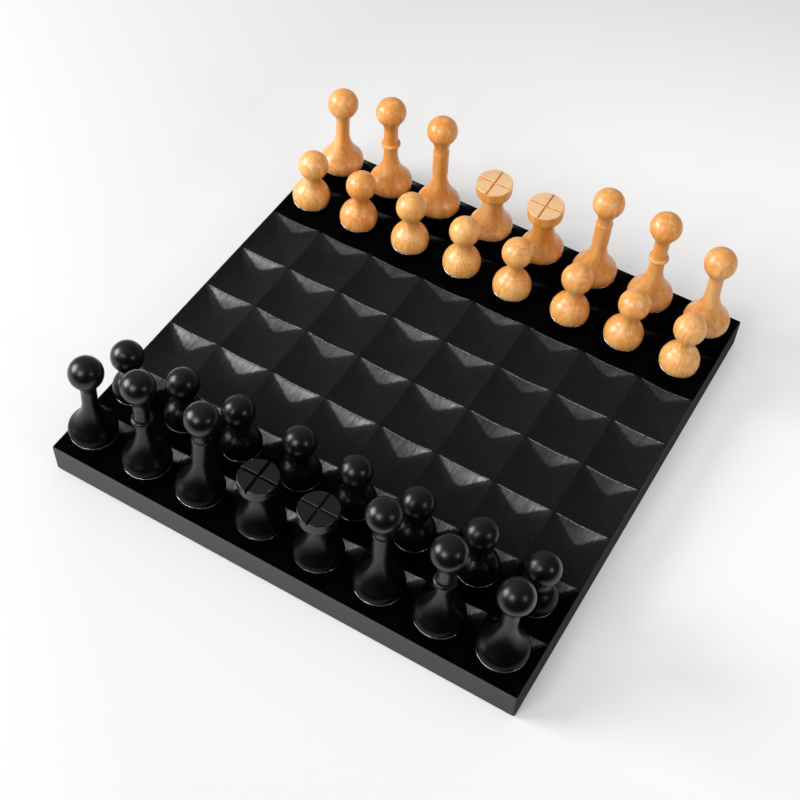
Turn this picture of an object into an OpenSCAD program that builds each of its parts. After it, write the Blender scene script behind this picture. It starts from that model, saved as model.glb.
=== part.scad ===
// Chess set of round-bottomed turned pieces on a board of 64 shallow dishes.
// Every piece is a wooden body over a domed metal weight that rests in its dish.
// Origin: centre of the underside. +Z up, files run along X, ranks along Y.

/* [Board] */
// Side of one square, dish centre to dish centre
pitch = 47.6; // [44:0.1:56]
// Thickness of the board without its pads
board_t = 25; // [20:0.5:40]
// Depth of each dish below the ridges
dish_depth = 4.8; // [3:0.1:7]
// Radius of the board's four upright corners
board_corner_r = 1.6; // [0.5:0.1:5]

/* [Felt pads] */
// Thickness of the pads under the board
pad_t = 1.2; // [0.8:0.1:4]
// Radius of a pad
pad_r = 9; // [5:0.5:15]
// Distance from the board's edges to a pad's centre
pad_inset = 24; // [16:1:60]

/* [Seat and weight] */
// Radius of the round bottom of the rooks, knights, bishops, queens and kings
ball_r = 18.2; // [16:0.1:20]
// Radius of the round bottom of the pawns
pawn_ball_r = 15.5; // [14:0.1:18]
// How far below the ball's centre the wood ends and the metal begins
weight_drop = 4; // [2:0.1:6]
// Open joint seen between the wood and the metal rim
rim_gap = 0.5; // [0.2:0.05:1]
// Radius of the weight's spigot
spigot_r = 9; // [6:0.1:11]
// Height of the spigot above the metal rim
spigot_h = 10; // [6:0.5:14]
// Clearance of the spigot in its bore, filled with glue
glue_gap = 0.1; // [0.05:0.01:0.3]
// Air between a round bottom and its dish
seat_gap = 0.3; // [0.1:0.05:0.5]

/* [Flowing body] */
// Radius of the shoulder that turns the ball in towards the flare
shoulder_r = 9; // [7:0.1:12]
// How far round the ball, below its widest line, the shoulder starts
shoulder_angle = 6; // [2:0.5:15]
// Radius of the hollow flare between shoulder and neck
flare_r = 39; // [30:1:55]

/* [Rook] */
// Radius of the rook's neck
rook_neck_r = 5.7; // [5:0.1:8]
// Radius of the rook's ball head
rook_head_r = 12.5; // [11:0.1:14]
// Centre of the rook's head above the ball's centre
rook_head_z = 61; // [55:0.5:72]
// Radius of the hollow under the rook's head
rook_hollow_r = 16; // [8:1:22]

/* [Knight] */
// Radius of the knight's neck
knight_neck_r = 5.8; // [5:0.1:8]
// Height of the knight's collar above the ball's centre
collar_z = 41; // [36:0.5:46]
// Radius of the collar's rounded edge
collar_bead_r = 2.1; // [1.5:0.1:3]

/* [Bishop] */
// Radius of the bishop's neck above and below the sleeve
bishop_neck_r = 5.9; // [5:0.1:8]
// Radius of the plain sleeve on the bishop's neck
sleeve_r = 6.5; // [6.1:0.1:9]
// Plain neck left between the flare and the sleeve's lower end
sleeve_rise = 0.2; // [0.1:0.1:3]
// Height of the sleeve
sleeve_h = 22.7; // [14:0.1:26]

/* [Tall heads] */
// Largest radius of the knight's and the bishop's head
tall_head_r = 12.3; // [11:0.1:14]
// How much lower than round the knight's and the bishop's head are, on each side
tall_head_flat = 1; // [0.2:0.1:2]
// Centre of the knight's and the bishop's head above the ball's centre
tall_head_z = 74.6; // [70:0.1:84]
// Radius of the hollow under the knight's and the bishop's head
tall_hollow_r = 20; // [10:1:26]

/* [King and queen] */
// Radius of the shoulder on the kings and queens
royal_shoulder_r = 7; // [6:0.1:10]
// How far round the ball the shoulder of the kings and queens starts
royal_shoulder_angle = 12; // [4:0.5:18]
// Radius of the hollow waist
waist_hollow_r = 34; // [26:1:44]
// Radius of the waist at its narrowest
waist_r = 8.4; // [7:0.1:11]
// Radius of the drum head
drum_r = 14.5; // [13:0.1:17]
// Underside of the drum head above the ball's centre
drum_z = 33.6; // [31:0.1:38]
// Height of the drum head
drum_h = 12.6; // [10:0.1:16]
// Flat ring under the drum, between the waist and the drum's rounding
drum_ledge = 0.4; // [0.2:0.1:2]
// Chamfer round the drum's top face
drum_chamfer = 0.5; // [0.2:0.1:1.5]
// Width of the king's two saw cuts
king_kerf_w = 2; // [1:0.1:4]
// Depth of the king's saw cuts
king_kerf_d = 3; // [1:0.1:6]
// Width of the queen's two saw cuts
queen_kerf_w = 1.6; // [1:0.1:4]
// Depth of the queen's saw cuts
queen_kerf_d = 1.8; // [1:0.1:6]

/* [Pawn] */
// Radius of the pawn's ball head
pawn_head_r = 12.3; // [11:0.1:14]
// Centre of the pawn's head above the ball's centre
pawn_head_z = 34.4; // [32:0.1:40]
// Radius of the hollow that makes the pawn's neck
pawn_hollow_r = 9; // [7:0.1:12]

/* [Hidden] */
$fn = 96;
// Largest turn between two points of an arc
ARC_STEP = 8;
LINE = 8;
FILES = ["a", "b", "c", "d", "e", "f", "g", "h"];
BACK_RANK = ["rook", "knight", "bishop", "queen", "king", "bishop", "knight", "rook"];
SIDES = ["dark", "light"];

// How each piece happens to stand, from file a to file h: where its ball sits off the
// dish's centre along X and Y in millimetres, and how far it leans to +X and to +Y in degrees
DARK_BACK_STANCE = [
    [-0.5, -0.5, 2, 2],
    [0, -1, 1.5, 0.5],
    [1, -1, 0, 2.5],
    [0.5, -1, 0, 1.5],
    [0, 0, 0, 1],
    [-2.5, -1, 4, 3.5],
    [-1, -1, 0, 3],
    [-2, 0, 3, 1.5],
];
DARK_PAWN_STANCE = [
    [0, -2.5, 2.5, 1],
    [4, -3, -3, 5],
    [0.5, -1.5, 2, 0.5],
    [0.5, -1, 0, 0],
    [2, -0.5, 0.5, 0],
    [-0.5, -1.5, -0.5, 1],
    [-2.5, -2, 3, 1.5],
    [-1.5, -1.5, -0.5, -0.5],
];
LIGHT_BACK_STANCE = [
    [1, 0, -1.5, -0.5],
    [0, 1, 0.5, -2],
    [-1, 1, 1.5, -2],
    [-1, 1.5, 0, -4],
    [-0.5, 2.5, 1, -3.5],
    [-2, 1.5, -0.5, 0],
    [-0.5, 1.5, 0, -2],
    [-1, 2, 2, -1.5],
];
LIGHT_PAWN_STANCE = [
    [-0.5, 0, 2, 1.5],
    [-0.5, 1.5, 5.5, 0],
    [1, 1, 2, 2],
    [-2, 0, 0.5, 3.5],
    [-0.5, 1, 1, -1],
    [-1, 1, 0, 0],
    [-2, 0.5, 3.5, 0.5],
    [-0.5, 0.5, 5, -0.5],
];

board_side = LINE * pitch;
board_top = pad_t + board_t;
// Radius of the troughs that cross at each dish
trough_r = (pow(pitch / 2, 2) + pow(dish_depth, 2)) / (2 * dish_depth);
// Depth below the ball's centre at which the wood ends
wood_end = weight_drop - rim_gap;
bore_depth = spigot_h - rim_gap + glue_gap;
// How far a cut runs past what it cuts
over = 2;

function file_x(file) = (LINE / 2 - 0.5 - file) * pitch;
function rank_y(rank) = (rank - LINE / 2 + 0.5) * pitch;
function stance(side, back, file) =
    side == "dark"
        ? (back ? DARK_BACK_STANCE[file] : DARK_PAWN_STANCE[file])
        : (back ? LIGHT_BACK_STANCE[file] : LIGHT_PAWN_STANCE[file]);
function rank_of(side, back) = side == "dark" ? (back ? 0 : 1) : (back ? LINE - 1 : LINE - 2);
function back_name(side, file) = str(side, "_", BACK_RANK[file], "_", FILES[file]);
function weight_name(side, file) = str(back_name(side, file), "_weight");
function pawn_name(side, file) = str(side, "_pawn_", FILES[file]);
function wood_colour(side) = side == "dark" ? "#1c1c1d" : "#d99a56";

// Outline across the board: a row of troughs whose crests lie in the top plane
module trough_row() {
    for (file = [0:LINE - 1])
        translate([file_x(file), 0])
            intersection() {
                translate([0, trough_r - dish_depth])
                    circle(r = trough_r);
                translate([-pitch / 2, -dish_depth - over])
                    square([pitch, dish_depth + 2 * over]);
            }
}

module troughs() {
    rotate([90, 0, 0])
        translate([0, 0, -board_side / 2 - over])
            linear_extrude(board_side + 2 * over)
                trough_row();
}

// Slab of solid wood with the 64 dishes, each where two troughs cross
module board() {
    inner = board_side - 2 * board_corner_r;
    color("#242425")
        difference() {
            translate([0, 0, pad_t])
                linear_extrude(board_t) {
                    square([inner, board_side], center = true);
                    square([board_side, inner], center = true);
                    for (x = [-1, 1], y = [-1, 1])
                        translate([x * inner / 2, y * inner / 2])
                            circle(r = board_corner_r);
                }
            translate([0, 0, board_top])
                intersection() {
                    troughs();
                    rotate([0, 0, 90])
                        troughs();
                }
        }
}

// Four felt dots glued under the corners
module foot_pads() {
    reach = board_side / 2 - pad_inset;
    color("#3a3a3a")
        for (x = [-1, 1], y = [-1, 1])
            translate([x * reach, y * reach, 0])
                cylinder(r = pad_r, h = pad_t);
}

// Points on an arc about (x, z), from one angle to the other, left out at its first end
function arc(x, z, r, from, to) =
    let (steps = ceil(abs(to - from) / ARC_STEP))
    [
        for (i = [1:steps])
            let (a = from + (to - from) * i / steps)
            [x + r * cos(a), z + r * sin(a)]
    ];

// Outline of a body from its lower edge up to the neck: the ball, a tighter shoulder that
// starts angle degrees under the ball's widest line, and a hollow flare that touches the
// shoulder and narrows to neck_r at the height returned by flare_z()
function shoulder_x(r, shoulder, angle) = (r - shoulder) * cos(angle);
function shoulder_z(r, shoulder, angle) = -(r - shoulder) * sin(angle);
function flare_angle(r, shoulder, angle, flare, neck_r) =
    acos((neck_r + flare - shoulder_x(r, shoulder, angle)) / (shoulder + flare));
function flare_z(r, shoulder, angle, flare, neck_r) =
    shoulder_z(r, shoulder, angle)
    + (shoulder + flare) * sin(flare_angle(r, shoulder, angle, flare, neck_r));
function bulb(r, shoulder, angle, flare, neck_r, past = 0) =
    let (
        x = shoulder_x(r, shoulder, angle),
        z = shoulder_z(r, shoulder, angle),
        turn = flare_angle(r, shoulder, angle, flare, neck_r),
        top = flare_z(r, shoulder, angle, flare, neck_r),
        edge = -asin(wood_end / r)
    )
    concat(
        [[0, -wood_end], [r * cos(edge), -wood_end]],
        arc(0, 0, r, edge, -angle),
        arc(x, z, shoulder, -angle, turn),
        arc(neck_r + flare, top, flare, 180 + turn, 180 - past)
    );

// Outline of a round head at height z, of radius r and flattened by flat above and below,
// from the hollow that leaves the neck up to the axis
function head(z, r, flat, neck_r, hollow_r) =
    let (
        round_r = r - flat,
        turn = acos((neck_r + hollow_r - flat) / (round_r + hollow_r)),
        low = z - (round_r + hollow_r) * sin(turn)
    )
    concat(
        [[neck_r, low]],
        arc(neck_r + hollow_r, low, hollow_r, 180, 180 - turn),
        arc(flat, z, round_r, -turn, 90),
        [[0, z + round_r]]
    );

function flowing_bulb(neck_r) = bulb(ball_r, shoulder_r, shoulder_angle, flare_r, neck_r);
function tall_head(neck_r) =
    head(tall_head_z, tall_head_r, tall_head_flat, neck_r, tall_hollow_r);

function rook_outline() =
    concat(
        flowing_bulb(rook_neck_r),
        head(rook_head_z, rook_head_r, 0, rook_neck_r, rook_hollow_r)
    );

function knight_outline() =
    concat(
        flowing_bulb(knight_neck_r),
        [[knight_neck_r, collar_z - collar_bead_r]],
        arc(knight_neck_r, collar_z, collar_bead_r, -90, 90),
        tall_head(knight_neck_r)
    );

function bishop_outline() =
    let (
        neck_z = flare_z(ball_r, shoulder_r, shoulder_angle, flare_r, bishop_neck_r),
        low = neck_z + sleeve_rise,
        high = low + sleeve_h
    )
    concat(
        flowing_bulb(bishop_neck_r),
        [[bishop_neck_r, low], [sleeve_r, low], [sleeve_r, high], [bishop_neck_r, high]],
        tall_head(bishop_neck_r)
    );

// The waist's hollow runs on past its narrowest place to the flat ring under the drum,
// and the drum's rounding takes up what is left to its full radius
function royal_outline() =
    let (
        waist_z = flare_z(
            ball_r, royal_shoulder_r, royal_shoulder_angle, waist_hollow_r, waist_r
        ),
        past = asin((drum_z - waist_z) / waist_hollow_r),
        round_x = waist_r + waist_hollow_r * (1 - cos(past)) + drum_ledge,
        drum_round = drum_r - round_x,
        drum_top = drum_z + drum_h
    )
    concat(
        bulb(
            ball_r, royal_shoulder_r, royal_shoulder_angle, waist_hollow_r, waist_r, past
        ),
        [[round_x, drum_z]],
        arc(round_x, drum_z + drum_round, drum_round, -90, 0),
        [
            [drum_r, drum_top - drum_chamfer],
            [drum_r - drum_chamfer, drum_top],
            [0, drum_top]
        ]
    );

// One hollow of radius pawn_hollow_r touches both the pawn's ball and its head
function pawn_outline() =
    let (
        low = pawn_ball_r + pawn_hollow_r,
        high = pawn_head_r + pawn_hollow_r,
        z = (pow(low, 2) - pow(high, 2) + pow(pawn_head_z, 2)) / (2 * pawn_head_z),
        x = sqrt(pow(low, 2) - pow(z, 2)),
        low_turn = atan2(z, x),
        high_turn = atan2(pawn_head_z - z, x),
        edge = -asin(wood_end / pawn_ball_r)
    )
    concat(
        [[0, -wood_end], [pawn_ball_r * cos(edge), -wood_end]],
        arc(0, 0, pawn_ball_r, edge, low_turn),
        arc(x, z, pawn_hollow_r, 180 + low_turn, 180 - high_turn),
        arc(0, pawn_head_z, pawn_head_r, -high_turn, 90)
    );

function outline(kind) =
    kind == "rook" ? rook_outline()
    : kind == "knight" ? knight_outline()
    : kind == "bishop" ? bishop_outline()
    : kind == "pawn" ? pawn_outline()
    : royal_outline();

// Two saw cuts that cross on the drum's top face
module kerfs(w, d) {
    for (turn = [0, 90])
        rotate([0, 0, turn])
            translate([-drum_r - over, -w / 2, drum_z + drum_h - d])
                cube([2 * (drum_r + over), w, d + over]);
}

// Turned wooden body, bored from below for the weight's spigot
module wood(kind) {
    difference() {
        rotate_extrude()
            polygon(outline(kind));
        translate([0, 0, -wood_end - over])
            cylinder(r = spigot_r + glue_gap, h = over + bore_depth);
        if (kind == "king") kerfs(king_kerf_w, king_kerf_d);
        if (kind == "queen") kerfs(queen_kerf_w, queen_kerf_d);
    }
}

// Domed metal weight that carries the ball on below the wood
module weight(r) {
    rotate_extrude() {
        intersection() {
            circle(r = r);
            translate([0, -r])
                square([r, r - weight_drop]);
        }
        translate([0, -weight_drop - over])
            square([spigot_r, over + spigot_h]);
    }
}

// Puts a piece in its dish: a ball moved off the dish's centre rides up the trough
module stand(side, back, file) {
    r = back ? ball_r : pawn_ball_r;
    s = stance(side, back, file);
    off = max(abs(s[0]), abs(s[1]));
    rise = trough_r - r - sqrt(pow(trough_r - r, 2) - pow(off, 2));
    translate([file_x(file) + s[0], rank_y(rank_of(side, back)) + s[1], 0])
        translate([0, 0, board_top - dish_depth + seat_gap + r + rise])
            rotate([-s[3], s[2], 0])
                children();
}

board();
foot_pads();

for (side = SIDES, file = [0:LINE - 1]) {
    color(wood_colour(side)) stand(side, true, file) wood(BACK_RANK[file]);
    color("#b9bbbd") stand(side, true, file) weight(ball_r);
    union() {
        color(wood_colour(side)) stand(side, false, file) wood("pawn");
        color("#b9bbbd") stand(side, false, file) weight(pawn_ball_r);
    }
}
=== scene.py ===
"""A chess set of round-bottomed turned pieces on a board of shallow dishes.

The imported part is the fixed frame, in metres. Each section below makes one group of
pieces in the order in which the real set is put together: the board and its pads, the
metal weights, the turned bodies, and last the studio that they stand in.
"""

import math

import bpy
import numpy as np
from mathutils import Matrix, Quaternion, Vector


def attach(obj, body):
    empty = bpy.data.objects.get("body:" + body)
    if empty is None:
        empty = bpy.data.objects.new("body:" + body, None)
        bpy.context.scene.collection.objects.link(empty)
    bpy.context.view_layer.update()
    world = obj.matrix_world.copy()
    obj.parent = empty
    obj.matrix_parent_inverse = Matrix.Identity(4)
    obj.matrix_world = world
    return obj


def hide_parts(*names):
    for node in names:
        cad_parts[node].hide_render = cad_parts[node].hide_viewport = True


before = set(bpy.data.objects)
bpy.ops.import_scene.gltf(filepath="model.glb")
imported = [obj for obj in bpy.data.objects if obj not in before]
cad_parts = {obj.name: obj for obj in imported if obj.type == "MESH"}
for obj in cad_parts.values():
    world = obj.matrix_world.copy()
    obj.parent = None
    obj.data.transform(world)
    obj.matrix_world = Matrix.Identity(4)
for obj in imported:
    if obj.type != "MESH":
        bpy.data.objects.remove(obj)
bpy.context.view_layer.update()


# Board
# A square slab of solid wood, hollowed by a cutter into 64 shallow four-sided dishes. The
# ridges between them were sanded and burnished by hand, so that each sags a little
# differently, and the whole is stained black under a thin semi-gloss lacquer.

BOARD_SEED = 64
BOARD_HALF = 0.1904
BOARD_TOP = 0.0262
BOARD_UNDER = 0.0012
SQUARES = 8
SQUARE = 0.048
DISH_DEPTH = 0.0048
DISH_POWER = 2.0
DISH_SQUARENESS = 8
RIDGE_SAG = 0.0012
RIDGE_SAG_SPREAD = 0.0006
RIDGE_ROUND = 0.02
CREASE_BLEND = 0.1
LINES_PER_HALF = 18
LINE_CROWDING = 1.5
ARRIS = 0.0008
ARRIS_RINGS = 5
CORNER_ROUND = 0.0016
ON_THE_EDGE = 1e-7
# The rows at either end, where the pieces stand and their painted shadow is laid, and how far
# that painted shadow fades in
SHADOW_ROW_COUNT = 2
SHADOW_ROW_FADE = 0.004
# How the ridge lines and the painted highlights lie, in shares of half a square
PEAK_START = 0.82
PEAK_SPARED = 0.06
PAINTED_HIGHLIGHT_DEPTH = 0.86
PAINTED_HIGHLIGHT_FADE = 0.08
PAINTED_HIGHLIGHT_SPREAD = 0.06
PAINTED_HIGHLIGHT_SKEW = 0.14
PAINTED_HIGHLIGHT_BELL = (1.2, 1.5)
PAINTED_HIGHLIGHT_ROUND = 0.12


def paint(hex_code):
    """The linear colour of an sRGB hex value."""
    srgb = np.array([int(hex_code[i : i + 2], 16) for i in (1, 3, 5)]) / 255
    linear = np.where(srgb <= 0.04045, srgb / 12.92, ((srgb + 0.055) / 1.055) ** 2.4)
    return (*linear.tolist(), 1.0)


# A Mix node's factor and two colours, which only their numbers tell from its other inputs
# of the same names, and the two values that nearly all of a noise lies between
FACTOR, COLOUR_A, COLOUR_B = 0, 6, 7
NOISE_LOW, NOISE_HIGH = 0.3, 0.7


def add(tree, kind, inputs=None, **settings):
    """Adds a shader node with its settings. Inputs are values, or sockets to link from.

    An input goes by its name, or by its number where several have one name. What is left
    out keeps its default, so a Map Range goes from 0 and 1 to 0 and 1.
    """
    made = tree.nodes.new("ShaderNode" + kind)
    for name, value in settings.items():
        setattr(made, name, value)
    for key, value in (inputs or {}).items():
        if isinstance(value, bpy.types.NodeSocket):
            tree.links.new(value, made.inputs[key])
        else:
            made.inputs[key].default_value = value
    return made


def bare_material(name):
    """A new material of that name with an empty node tree, and the tree."""
    material = bpy.data.materials.new(name)
    material.use_nodes = True
    material.node_tree.nodes.clear()
    return material, material.node_tree


def set_down(name, points, faces, material, body, replaced, sharp):
    """Makes a piece of points and faces, smooth but for edges sharper than an angle.

    It rides on a body, has its finish and takes the place of a node of the part.
    """
    mesh = bpy.data.meshes.new(name)
    mesh.from_pydata(points.tolist(), [], faces)
    mesh.shade_smooth()
    mesh.set_sharp_from_angle(angle=math.radians(sharp))
    mesh.materials.append(material)
    piece = bpy.data.objects.new(name, mesh)
    bpy.context.scene.collection.objects.link(piece)
    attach(piece, body)
    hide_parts(replaced)
    return piece


def dish_lines():
    """Grid lines across the board and where each falls in its square, from -1 to 1.

    A line's distance from the nearer ridge grows as a power of its number, so that the
    lines crowd together at the ridges. The outer squares are narrower than the rest.
    """
    ridges = (np.arange(SQUARES + 1) - SQUARES / 2) * SQUARE
    ridges = np.clip(ridges, ARRIS - BOARD_HALF, BOARD_HALF - ARRIS)
    step = np.arange(LINES_PER_HALF + 1) / LINES_PER_HALF
    left = step**LINE_CROWDING - 1
    local = np.concatenate([left, -left[-2:0:-1]])
    width = np.diff(ridges)[:, None] / 2
    middle = (ridges[:-1] + ridges[1:])[:, None] / 2
    across = np.append((middle + width * local).ravel(), ridges[-1])
    return across, np.append(np.tile(local, SQUARES), 1.0)


def relief(x_local, y_local, sag, worn):
    """Height against the peaks, in metres, so none of it is positive.

    With m the larger and q the ratio of the smaller to the larger local coordinate, the
    height is the floor plus (depth - drop) times m to a power. The drop is how far the
    ridge lies below its peaks: part comes from level lines that are squares with round
    corners, where q enters to the eighth power, and part is a hand-sanded hollow, the
    square of a parabola in q, which dies out at the crease. Along the board's own edges,
    where worn is 0, nothing is lost. The ridge is rounded by bending each coordinate over
    as it nears 1.
    """
    a, b = (
        1 + RIDGE_ROUND - np.sqrt((1 - np.abs(local)) ** 2 + RIDGE_ROUND**2)
        for local in (x_local, y_local)
    )
    m, q = np.maximum(a, b), np.minimum(a, b) / np.maximum(a, b)
    squared = ((1 + q**DISH_SQUARENESS) / 2) ** (DISH_POWER / DISH_SQUARENESS)
    drop = worn * (DISH_DEPTH * (1 - squared) + sag * (1 - q**2) ** 2)
    return (DISH_DEPTH - drop) * m**DISH_POWER - DISH_DEPTH


def painted_highlighted(x_local, y_local, depth):
    """How far inside the painted highlight under a far ridge a point lies, negative outside.

    This patch, where the gloss is raised, is a painted highlight. It hangs from the ridge
    like a bell. Its reach down from the ridge is its depth times a power of the share of
    the way from the ridge's end to the tip, a higher power on the right. The tip is rounded
    and lies a little to the right of the ridge's middle.
    """
    past = x_local - PAINTED_HIGHLIGHT_SKEW
    wing = np.where(past < 0, -past / (1 + PAINTED_HIGHLIGHT_SKEW), past / (1 - PAINTED_HIGHLIGHT_SKEW))
    wing = np.sqrt(wing**2 + PAINTED_HIGHLIGHT_ROUND**2)
    return y_local - 1 + depth * (1 - wing).clip(0) ** np.where(past < 0, *PAINTED_HIGHLIGHT_BELL)


def creased(at, x_local, y_local):
    """Two triangles for each cell of a grid, split along the diagonal of its own crease.

    The creases run from a dish's middle to its corners: one way where the two local
    coordinates have the same sign, and the other way where their signs differ. In the
    narrow cells against the next square, whose lines count from -1 again, they aren't
    followed. a, b, c and d are a cell's corners in turn.
    """
    a, b, c, d = at[:-1, :-1], at[1:, :-1], at[1:, 1:], at[:-1, 1:]
    mid_x = (x_local[:-1, :-1] + x_local[1:, 1:]) * (x_local[1:, 1:] > -1)
    mid_y = (y_local[:-1, :-1] + y_local[1:, 1:]) * (y_local[1:, 1:] > -1)
    rising = (mid_x * mid_y > 0)[..., None, None]
    split = np.where(
        rising,
        np.stack([np.stack([a, b, c], -1), np.stack([a, c, d], -1)], -2),
        np.stack([np.stack([a, b, d], -1), np.stack([b, c, d], -1)], -2),
    )
    return split.reshape(-1, 3).tolist()


def edge_rings(rim):
    """Rings of points from the top's rim round the arris, down the side and in underneath.

    Each ring is a base line pushed outward by the arris times a sine, and lowered by the
    arris times one less a cosine. The base is the rim itself, but at a corner it is a
    quarter circle about a centre of its own. The rings underneath mirror those above.
    """
    edge, height = rim[:, :2], rim[:, 2]
    centre = BOARD_HALF - CORNER_ROUND
    outward = np.where(np.abs(edge) > BOARD_HALF - ARRIS - ON_THE_EDGE, np.sign(edge), 0.0)
    past = np.clip((np.abs(edge) - centre) / (CORNER_ROUND - ARRIS), 0, 1)
    turn = np.where(past[:, 0] >= past[:, 1], past[:, 1], 2 - past[:, 0]) * math.pi / 4
    round_out = np.sign(edge) * np.stack([np.cos(turn), np.sin(turn)], 1)
    corner = (np.abs(edge) > centre).all(1)[:, None]
    outward = np.where(corner, round_out, outward)
    rounded = np.sign(edge) * centre + round_out * (CORNER_ROUND - ARRIS)
    base = np.where(corner, rounded, edge)
    upper, lower = [], []
    for angle in np.radians(np.linspace(0, 90, ARRIS_RINGS)):
        ring = base + outward * ARRIS * math.sin(angle)
        fall = ARRIS * (1 - math.cos(angle))
        upper.append(np.column_stack([ring, height - fall]))
        lower.append(np.column_stack([ring, np.full(len(rim), BOARD_UNDER + fall)]))
    return upper + lower[::-1]


def slab():
    """Points and faces of the board, and four values for each point.

    They tell how near it is to a ridge that crosses the grain, whether it lies on the
    slab's side, whether it lies in the two rows at either end, where the pieces stand at
    rest and a painted shadow of them darkens the board, and how far it lies inside the
    painted highlight under a far ridge. The ridge lines spare the peaks, and the painted
    highlights are shallower toward the light pieces.

    The top is the relief over a square grid. Each point takes its sag from the ridge that
    it faces, blended over at the creases, and the board's own edges aren't sanded. From
    the top's rim, the edge rings go down and in under the slab, where one face closes it.
    """
    rng = np.random.default_rng(BOARD_SEED)
    across, local = dish_lines()
    count = len(across)
    square = np.minimum(np.arange(count) // (2 * LINES_PER_HALF), SQUARES - 1)
    x, y = np.meshgrid(across, across, indexing="ij")
    x_local, y_local = np.meshgrid(local, local, indexing="ij")
    x_square, y_square = np.meshgrid(square, square, indexing="ij")
    ridge_sag = RIDGE_SAG + RIDGE_SAG_SPREAD * rng.uniform(-1, 1, (2, SQUARES + 1, SQUARES))
    ridge_worn = np.ones((SQUARES + 1, SQUARES))
    ridge_worn[[0, -1]] = 0
    share = (np.abs(x_local) - np.abs(y_local)).clip(-CREASE_BLEND, CREASE_BLEND)
    share = share / (2 * CREASE_BLEND) + 0.5
    toward_x = (x_square + (x_local > 0), y_square)
    toward_y = (y_square + (y_local > 0), x_square)
    sag, worn = (
        share * first[toward_x] + (1 - share) * second[toward_y]
        for first, second in (ridge_sag, (ridge_worn, ridge_worn))
    )
    z = BOARD_TOP + relief(x_local, y_local, sag, worn)
    toward_peak = ((np.abs(x_local) - PEAK_START) / (1 - PEAK_START)).clip(0, 1)
    ridge = np.abs(y_local) - PEAK_SPARED * toward_peak
    # The painted highlight under each far ridge: how far it reaches, shallower toward the light
    # pieces
    uneven = PAINTED_HIGHLIGHT_SPREAD * rng.uniform(-1, 1, (SQUARES, SQUARES))
    depth = PAINTED_HIGHLIGHT_DEPTH - PAINTED_HIGHLIGHT_FADE * np.arange(SQUARES) + uneven
    painted_highlight = painted_highlighted(x_local, y_local, depth[x_square, y_square])

    at = np.arange(count * count).reshape(count, count)
    rim = np.concatenate([at[:-1, 0], at[-1, :-1], at[:0:-1, -1], at[0, :0:-1]])
    top = np.stack([x, y, z], -1).reshape(-1, 3)
    rings = edge_rings(top[rim])
    top[rim] = rings[0]
    points = np.concatenate([top, *rings[1:]])

    faces = creased(at, x_local, y_local)
    added = np.arange(len(top), len(points)).reshape(-1, len(rim))
    for upper, lower in zip([rim, *added[:-1]], added):
        quads = np.stack([upper, lower, np.roll(lower, -1), np.roll(upper, -1)], 1)
        faces += quads.tolist()
    faces.append(added[-1][::-1].tolist())

    ridge = np.concatenate([ridge.ravel(), np.ones(added.size)])
    beside = np.concatenate([np.zeros(len(top)), np.ones(added.size)])
    beside[rim] = 0.5
    painted_shadow_rows_start = (SQUARES / 2 - SHADOW_ROW_COUNT) * SQUARE
    painted_shadow_rows = ((np.abs(points[:, 1]) - painted_shadow_rows_start) / SHADOW_ROW_FADE + 0.5).clip(0, 1)
    painted_highlight = np.concatenate([painted_highlight.ravel(), np.full(added.size, -1.0)])
    return points, faces, {"ridge": ridge, "beside": beside, "painted_shadow_rows": painted_shadow_rows, "painted_highlight": painted_highlight}


# Ebonised wood under a thin semi-gloss lacquer: near black, clouded over 26 mm, with the
# lines of the grain, 0.7 mm wide, just felt in the gloss. The ridges are rubbed grey in
# specks of half a millimetre, partly wear and partly a painted highlight along the crests.
# Under each far ridge the gloss rises in a bell-shaped patch, a painted highlight that the
# gleam lamps light, in strokes 1 mm wide and with an edge mottled over 2.4 mm. The two rows
# at either end are painted blacker and duller, a painted shadow of the pieces that stand
# there, and the slab's sides are greyer
ebonised, tree = bare_material("ebonised_board_lacquer")
here = add(tree, "TexCoord").outputs["Object"]
along = add(tree, "Mapping", {"Vector": here, "Scale": (1.0, 0.045, 1.0)})
grain = add(tree, "TexNoise", {"Vector": along.outputs[0], "Scale": 1400.0, "Detail": 4.0})
cloud = add(tree, "TexNoise", {"Vector": here, "Scale": 38.0, "Detail": 3.0})
rubbed = add(tree, "TexNoise", {"Vector": here, "Scale": 1900.0, "Detail": 2.0})
ridge = add(tree, "Attribute", attribute_name="ridge").outputs["Fac"]
# Partly wear and partly a painted highlight: the ridge crests are rubbed grey in specks
worn = add(
    tree,
    "MapRange",
    {"Value": ridge, "From Min": 0.968, "From Max": 0.99},
    interpolation_type="SMOOTHSTEP",
)
spots = add(
    tree, "MapRange", {"Value": rubbed.outputs["Fac"], "From Min": 0.44, "From Max": 0.66}
)
wear_and_highlight = add(tree, "Math", {0: worn.outputs[0], 1: spots.outputs[0]}, operation="MULTIPLY")
stain = add(
    tree,
    "Mix",
    {FACTOR: cloud.outputs["Fac"], COLOUR_A: paint("#121213"), COLOUR_B: paint("#17181a")},
    data_type="RGBA",
)
stain_wear_and_highlight = add(
    tree,
    "Mix",
    {FACTOR: wear_and_highlight.outputs[0], COLOUR_A: stain.outputs[2], COLOUR_B: paint("#9b9ba2")},
    data_type="RGBA",
)
beside = add(tree, "Attribute", attribute_name="beside").outputs["Fac"]
painted_shadow_rows = add(tree, "Attribute", attribute_name="painted_shadow_rows").outputs["Fac"]
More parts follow.
